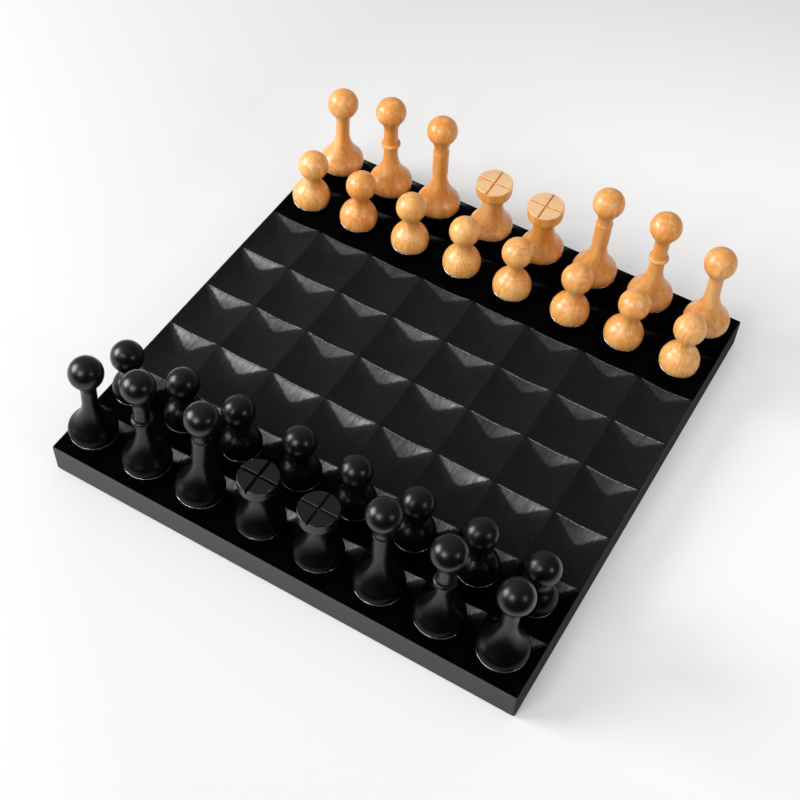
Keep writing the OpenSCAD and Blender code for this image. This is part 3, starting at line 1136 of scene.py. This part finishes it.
_, waist_z = flowing(BALL, ROYAL_SHOULDER, ROYAL_SHOULDER_ANGLE, WAIST_HOLLOW, WAIST)
past_waist = math.degrees(math.asin((DRUM_Z - waist_z) / WAIST_HOLLOW))
royal_low, _ = flowing(
    BALL, ROYAL_SHOULDER, ROYAL_SHOULDER_ANGLE, WAIST_HOLLOW, WAIST, past_waist
)
ledge = royal_low[-1, 0] + DRUM_LEDGE
drum_round = DRUM - ledge
royal_high = np.concatenate(
    [
        arc(ledge, DRUM_Z + drum_round, drum_round, -90, 0, 6),
        [[DRUM, DRUM_TOP - DRUM_CHAMFER], [DRUM - DRUM_CHAMFER, DRUM_TOP]],
        [[0, DRUM_TOP]],
    ]
)
royal_points, royal_faces = turned(np.concatenate([royal_low, royal_high]))
for royal, stance in ROYALS.items():
    width, depth = KERFS[royal[:-2]]
    sawn_points, sawn_faces = saw_cut(royal_points, royal_faces, width, depth)
    wood = bodied(royal, sawn_points, sawn_faces, stance, DRUM_CRISP_ANGLE)
    if wood.data.materials[0] is beech:
        # The drum's top, and the floors and walls of its cuts, show the bare wood
        wood.data.materials.append(bare)
        high = sawn_points[:, 2] > DRUM_TOP - depth - WOOD_EDGE
        inside = np.hypot(*sawn_points[:, :2].T) < DRUM - DRUM_CHAMFER / 2
        cleared = high & inside
        faced = [cleared[face].all() for face in sawn_faces]
        wood.data.polygons.foreach_set("material_index", np.array(faced, np.int32))


# Pawns
# Two balls joined by one deep round hollow, the smallest pieces of the set.

PAWN_HEAD = 0.0123
PAWN_HEAD_Z = 0.0344
PAWN_HOLLOW = 0.009
PAWNS = {
    "dark_pawn_a": (0, -2.5, 2.5, 1),
    "dark_pawn_b": (4, -3, -3, 5),
    "dark_pawn_c": (0.5, -1.5, 2, 0.5),
    "dark_pawn_d": (0.5, -1, 0, 0),
    "dark_pawn_e": (2, -0.5, 0.5, 0),
    "dark_pawn_f": (-0.5, -1.5, -0.5, 1),
    "dark_pawn_g": (-2.5, -2, 3, 1.5),
    "dark_pawn_h": (-1.5, -1.5, -0.5, -0.5),
    "light_pawn_a": (-0.5, 0, 2, 1.5),
    "light_pawn_b": (-0.5, 1.5, 5.5, 0),
    "light_pawn_c": (1, 1, 2, 2),
    "light_pawn_d": (-2, 0, 0.5, 3.5),
    "light_pawn_e": (-0.5, 1, 1, -1),
    "light_pawn_f": (-1, 1, 0, 0),
    "light_pawn_g": (-2, 0.5, 3.5, 0.5),
    "light_pawn_h": (-0.5, 0.5, 5, -0.5),
}


def pawn_outline():
    """Ball, hollow and head, where the hollow's arc touches both of the balls.

    The hollow's centre lies as far from each ball's centre as their two radii together.
    """
    low, high = PAWN_BALL + PAWN_HOLLOW, PAWN_HEAD + PAWN_HOLLOW
    z = (low**2 - high**2 + PAWN_HEAD_Z**2) / (2 * PAWN_HEAD_Z)
    x = math.sqrt(low**2 - z**2)
    low_turn = math.degrees(math.atan2(z, x))
    high_turn = math.degrees(math.atan2(PAWN_HEAD_Z - z, x))
    return np.concatenate(
        [
            foot(PAWN_BALL, low_turn),
            arc(x, z, PAWN_HOLLOW, 180 + low_turn, 180 - high_turn, 6)[1:],
            arc(0, PAWN_HEAD_Z, PAWN_HEAD, -high_turn, 90, 5)[1:],
        ]
    )


pawn_points, pawn_faces = turned(pawn_outline())
for pawn, stance in PAWNS.items():
    bodied(pawn, pawn_points, pawn_faces, stance)


# Studio
# A plain white table, a large soft lamp at the left, weaker ones at the front and the
# right, lamps for the board alone, and the camera where the photograph was taken from.

LENS = 62.95
SENSOR = 36.0
CAMERA_PLACE = (0.3076, -0.5855, 0.8520)
CAMERA_LOOKS = (-0.292488, 0.540323, -0.788988)
CAMERA_ROLL = 2.784
GLOW_PLACE = (0.30, 0.19, 0.0)
TABLE_CORNERS = ((-0.93, -0.96), (0.43, -0.13), (1.4, 2.6), (-2.6, 2.6))
GLEAM_LAMPS = {"left": (-1.08, 24.0), "right": (-0.38, 4.2)}
SOFT_LEVEL = 0.6
ROOM_LEVEL = 0.36

camera = bpy.data.objects.new("camera", bpy.data.cameras.new("camera"))
camera.data.lens = LENS
camera.data.sensor_width = SENSOR
camera.data.clip_start = 0.01
camera.data.clip_end = 50.0
camera.location = CAMERA_PLACE
aim = Vector(CAMERA_LOOKS).to_track_quat("-Z", "Y")
camera.rotation_mode = "QUATERNION"
camera.rotation_quaternion = aim @ Quaternion((0, 0, 1), math.radians(CAMERA_ROLL))
bpy.context.scene.collection.objects.link(camera)
bpy.context.scene.camera = camera

# Matt white paint on the table's top, with a painted pool of light that makes it a little
# lighter than it is lit for the camera and mirrors, most of all near the board's right side,
# where it lightens the board's shadow. It ends just below the picture, so that the pieces'
# near sides mirror the dark side of the room
white, tree = bare_material("white_table")
rays = add(tree, "LightPath").outputs
seen = add(
    tree, "Math", {0: rays["Is Camera Ray"], 1: rays["Is Glossy Ray"]}, operation="MAXIMUM"
)
seen = add(
    tree, "Math", {0: seen.outputs[0], 1: rays["Is Transmission Ray"]}, operation="MAXIMUM"
)
here = add(tree, "TexCoord").outputs["Object"]
away = add(tree, "VectorMath", {0: here, 1: GLOW_PLACE}, operation="DISTANCE")
# A painted pool of light, brightest near the board's right side, where it lightens the board's
# shadow
pool = add(
    tree,
    "MapRange",
    {
        "Value": away.outputs["Value"],
        "From Min": 0.25,
        "From Max": 0.6,
        "To Min": 0.27,
        "To Max": 0.03,
    },
)
glow = add(tree, "Math", {0: seen.outputs[0], 1: pool.outputs[0]}, operation="MULTIPLY")
matt = add(tree, "BsdfDiffuse", {"Color": paint("#cecece")})
painted_pool_light = add(tree, "Emission", {"Color": paint("#fafafa"), "Strength": glow.outputs[0]})
both = add(tree, "AddShader", {0: matt.outputs[0], 1: painted_pool_light.outputs[0]})
add(tree, "OutputMaterial", {"Surface": both.outputs[0]})
table_mesh = bpy.data.meshes.new("table_top")
table_mesh.from_pydata([(x, y, 0) for x, y in TABLE_CORNERS], [], [[0, 1, 2, 3]])
table_mesh.materials.append(white)
table_top = bpy.data.objects.new("table_top", table_mesh)
bpy.context.scene.collection.objects.link(table_top)


def lamp(name, place, width, height, radiance):
    """A soft rectangular lamp that faces the board's middle.

    Its power is four times its area times the radiance that its face shows.
    """
    made = bpy.data.objects.new(name, bpy.data.lights.new(name, "AREA"))
    made.data.shape = "RECTANGLE"
    made.data.size = width
    made.data.size_y = height
    made.data.energy = 4 * width * height * radiance
    made.location = place
    made.rotation_mode = "QUATERNION"
    made.rotation_quaternion = (-Vector(place)).to_track_quat("-Z", "Y")
    made.visible_camera = False
    bpy.context.scene.collection.objects.link(made)
    return made


lamp("key_lamp", (-1.61, -0.76, 0.90), 1.0, 1.0, 11.0)
lamp("front_lamp", (-0.28, -1.48, 1.36), 0.8, 0.8, 5.8)
lamp("fill_lamp", (1.68, -0.30, 1.06), 0.35, 0.35, 7.0)
# The next lamp rakes the board alone, so that its dishes show a light and a dark side, and
# the two overhead only draw the gleam in the painted highlight, the raised gloss under
# each far ridge
board_only = bpy.data.collections.new("board_only")
board_only.objects.link(board)
rake = lamp("rake_lamp", (-1.15, -1.0, 0.45), 0.5, 0.5, 26.0)
rake.visible_glossy = False
rake.light_linking.receiver_collection = board_only
for side, (x, radiance) in GLEAM_LAMPS.items():
    overhead = lamp(side + "_gleam_lamp", (x, -0.20, 2.10), 0.95, 0.6, radiance)
    overhead.visible_diffuse = False
    overhead.light_linking.receiver_collection = board_only

# The room beyond the table: white where the camera sees it, and a plain soft light on
# matt surfaces. Glossy ones mirror a grey ceiling, which is lighter on the left and dark
# low down on the camera's side
world = bpy.data.worlds.new("studio")
world.use_nodes = True
tree = world.node_tree
tree.nodes.clear()
rays = add(tree, "LightPath").outputs
gaze = add(tree, "TexCoord").outputs["Generated"]
slope = add(tree, "VectorMath", {0: gaze, 1: (0.0, 1.0, 1.2)}, operation="DOT_PRODUCT")
behind = add(
    tree,
    "MapRange",
    {"Value": slope.outputs["Value"], "From Min": -0.1, "From Max": 1.1, "To Min": 0.04},
)
toward = add(tree, "SeparateXYZ", {0: gaze}).outputs
above = add(tree, "MapRange", {"Value": toward["Z"], "From Max": 0.4, "To Min": 0.45})
grey = add(tree, "Math", {0: behind.outputs[0], 1: above.outputs[0]}, operation="MULTIPLY")
leftward = add(
    tree,
    "MapRange",
    {"Value": toward["X"], "From Min": -0.8, "From Max": 0.6, "To Min": 1.4, "To Max": 0.35},
)
sided = add(tree, "Math", {0: grey.outputs[0], 1: leftward.outputs[0]}, operation="MULTIPLY")
level = add(tree, "Math", {0: sided.outputs[0], 1: ROOM_LEVEL}, operation="MULTIPLY")
seen = add(
    tree,
    "Math",
    {0: rays["Is Camera Ray"], 1: rays["Is Transmission Ray"]},
    operation="MAXIMUM",
)
room = add(tree, "Background", {"Color": paint("#ffffff"), "Strength": level.outputs[0]})
sky = add(tree, "Background", {"Color": paint("#fafafa"), "Strength": 1.0})
soft = add(tree, "Background", {"Color": paint("#ffffff"), "Strength": SOFT_LEVEL})
lit = add(tree, "MixShader", {0: rays["Is Glossy Ray"], 1: soft.outputs[0], 2: room.outputs[0]})
sight = add(tree, "MixShader", {0: seen.outputs[0], 1: lit.outputs[0], 2: sky.outputs[0]})
add(tree, "OutputWorld", {"Surface": sight.outputs[0]})
bpy.context.scene.world = world
bpy.context.scene.view_settings.view_transform = "Standard"
